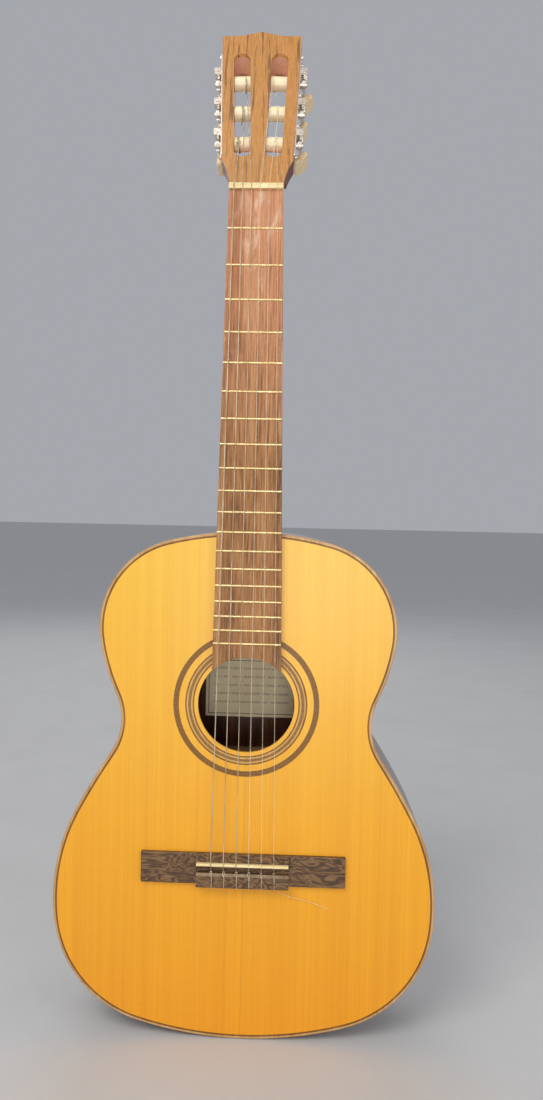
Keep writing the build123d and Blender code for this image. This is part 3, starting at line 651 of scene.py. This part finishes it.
def tie_loop(number):
    """A string's end brought over the tie block and tucked round itself."""
    radius = STRING_R[number - 1]
    middle = BRIDGE_SPREAD * (0.5 - (number - 1) / 5)
    front = node_top("tie_strip")[2]
    back = node_low("bridge")[2]
    top = node_low("bridge")[1]
    over = top - radius
    lean = 0.6 * MM
    points = [
        (middle, TIE_HOLE_Y, back + 2 * MM),
        (middle, TIE_HOLE_Y, back - 0.6 * MM),
        (middle + 0.2 * lean, TIE_HOLE_Y - 1.2 * MM, back - 1.0 * MM),
        (middle + 0.6 * lean, over - 0.2 * MM, back - 0.7 * MM),
        (middle + lean, over - 0.1 * MM, back + 2.5 * MM),
        (middle + lean, over, back + 8 * MM),
        (middle + 1.4 * lean, over - 0.1 * MM, front - 0.8 * MM),
        (middle + 1.6 * lean, over + 1.0 * MM, front + 1.1 * MM),
        (middle + 0.4 * lean, over + 1.6 * MM, front + 2.0 * MM),
        (middle - 1.4 * lean, over + 1.0 * MM, front + 1.3 * MM),
        (middle - 1.2 * lean, over - 0.6 * MM, front - 0.4 * MM),
        (middle + 0.4 * lean, over - 2.1 * radius, front - 2.4 * MM),
        (middle + 2.0 * lean, over - 1.2 * radius, front - 4.6 * MM),
        (middle + 1.2 * lean, over - 0.2 * MM, front - 7.4 * MM),
    ]
    thread(f"tie_loop_{number}", points, radius, "guitar", string_slot(number))


# ---------------------------------------------------------------------------
# Pieces: buttons
# ---------------------------------------------------------------------------
BUTTON_T = 6.2 * MM
PADDLE_CENTRE = (0.0, 13.6 * MM)
PADDLE_LEVELS = 9
RIM_ROUNDING = 0.18
COLLAR_R = 2.5 * MM
COLLAR_RINGS = [(0.0, 0.85), (0.15, 1.0), (3.6, 1.0), (4.6, 1.25), (6.0, 1.1)]   # mm out, and size
COLLAR_SEGMENTS = 20
BUTTON_OUTLINE = [
    (0.0, 5.0), (2.3, 4.1), (4.6, 2.5), (7.8, 2.4), (9.4, 4.5), (9.8, 9.0),
    (9.7, 14.7), (9.3, 19.9), (7.8, 23.7), (4.3, 25.4), (0.0, 25.7),
]


def skin(mesh, rings):
    """Walls between rings of vertices, closed at both ends."""
    count = len(rings[0])
    for lower, upper in zip(rings, rings[1:]):
        for index in range(count):
            after = (index + 1) % count
            mesh.faces.new((lower[index], lower[after], upper[after], upper[index]))
    mesh.faces.new(list(reversed(rings[0])))
    mesh.faces.new(rings[-1])


def button(number):
    """A moulded paddle, thick in the middle and round at the rim, on its collar."""
    joint = joints[f"button_{number}_turn"]
    shaft = Vector(joint["axis"]).normalized()
    toward_gear = -machine_axes(number)[1]
    side_way = shaft.cross(toward_gear)
    turn = radians(BUTTON_TURNS[number - 1])
    wide = toward_gear * cos(turn) + side_way * sin(turn)
    thick = shaft.cross(wide)
    base = Vector(joint["pos_m"]) + shaft * BUTTON_GAP
    half = [(x * MM, t * MM) for x, t in BUTTON_OUTLINE]
    rim = half + [(-x, t) for x, t in reversed(half[1:-1])]
    mesh = bmesh.new()
    layers = []
    for level in range(PADDLE_LEVELS):
        angle = pi * (level / (PADDLE_LEVELS - 1) - 0.5)
        inset = 1 - RIM_ROUNDING * (1 - cos(angle)) ** 1.5
        height = BUTTON_T / 2 * sin(angle)
        layer = []
        for x, t in rim:
            u = PADDLE_CENTRE[0] + (x - PADDLE_CENTRE[0]) * inset
            v = PADDLE_CENTRE[1] + (t - PADDLE_CENTRE[1]) * inset
            layer.append(mesh.verts.new(base + wide * u + shaft * v + thick * height))
        layers.append(layer)
    skin(mesh, layers)
    rings = []
    for t, size in COLLAR_RINGS:
        ring = []
        for index in range(COLLAR_SEGMENTS):
            angle = 2 * pi * index / COLLAR_SEGMENTS
            spoke = (wide * cos(angle) + thick * sin(angle)) * COLLAR_R * size
            ring.append(mesh.verts.new(base + shaft * t * MM + spoke))
        rings.append(ring)
    skin(mesh, rings)
    bmesh.ops.recalc_face_normals(mesh, faces=mesh.faces)
    data = bpy.data.meshes.new(f"button_paddle_{number}")
    mesh.to_mesh(data)
    mesh.free()
    for face in data.polygons:
        face.use_smooth = True
    data.materials.append(materials["button_cream"])
    piece = bpy.data.objects.new(f"button_paddle_{number}", data)
    bpy.context.collection.objects.link(piece)
    smooth = piece.modifiers.new("smooth", "SUBSURF")
    smooth.levels = 2
    smooth.render_levels = 2
    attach(piece, f"button_{number}")
    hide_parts(f"tuner_button_{number}")


# ---------------------------------------------------------------------------
# Studio
# ---------------------------------------------------------------------------
def make_stage():
    """A plain pale floor, wide enough to reach the horizon."""
    level = cad_box[0][2] - 0.5 * MM
    mesh = bmesh.new()
    corners = [(-1, -1), (1, -1), (1, 1), (-1, 1)]
    mesh.faces.new([mesh.verts.new((x * FLOOR_HALF, y * FLOOR_HALF, level)) for x, y in corners])
    data = bpy.data.meshes.new("floor")
    mesh.to_mesh(data)
    mesh.free()
    make = Shader("floor_paper")
    grain = make.noise(make.scaled((9, 9, 9)), detail=3.0)
    colour = make.ramp(grain, (0.3, (0.60, 0.60, 0.60, 1)), (0.7, (0.63, 0.63, 0.63, 1)))
    make.set(Base_Color=colour, Roughness=0.9)
    data.materials.append(make.material)
    floor = bpy.data.objects.new("floor", data)
    bpy.context.collection.objects.link(floor)


def area_light(name, place, target, size, power, colour):
    """A soft square light aimed at a point."""
    data = bpy.data.lights.new(name, "AREA")
    data.shape = "SQUARE"
    data.size = size
    data.energy = power
    data.color = colour
    light = bpy.data.objects.new(name, data)
    bpy.context.collection.objects.link(light)
    light.visible_camera = False
    light.location = place
    light.rotation_euler = (Vector(target) - Vector(place)).to_track_quat("-Z", "Y").to_euler()


def make_lights():
    """Soft key from above, lights in front, beside and behind, and an even surround."""
    world = bpy.data.worlds.new("surround")
    world.use_nodes = True
    world.node_tree.nodes["Background"].inputs["Color"].default_value = (0.9, 0.93, 1.0, 1)
    world.node_tree.nodes["Background"].inputs["Strength"].default_value = 0.42
    bpy.context.scene.world = world
    area_light("key", (-0.9, -1.6, 1.3), (0, 0, -0.4), 1.2, 29, (1.0, 0.97, 0.92))
    area_light("front", (0.1, -1.8, -0.45), (0, 0, -0.5), 0.7, 7.5, (1.0, 0.97, 0.92))
    area_light("back", (-0.5, 2.4, 1.3), (0, 0, -0.4), 2.0, 15, (1.0, 0.98, 0.96))
    area_light("fill", (1.7, -1.3, 0.2), (0, 0, -0.45), 1.4, 8, (1.0, 0.98, 0.96))


bpy.context.scene.view_settings.view_transform = "Standard"
make_camera()
materials = make_materials()
dress_nodes(materials)
for string_number in range(1, 7):
    wind_string(string_number)
    tie_loop(string_number)
    button(string_number)
make_stage()
make_lights()
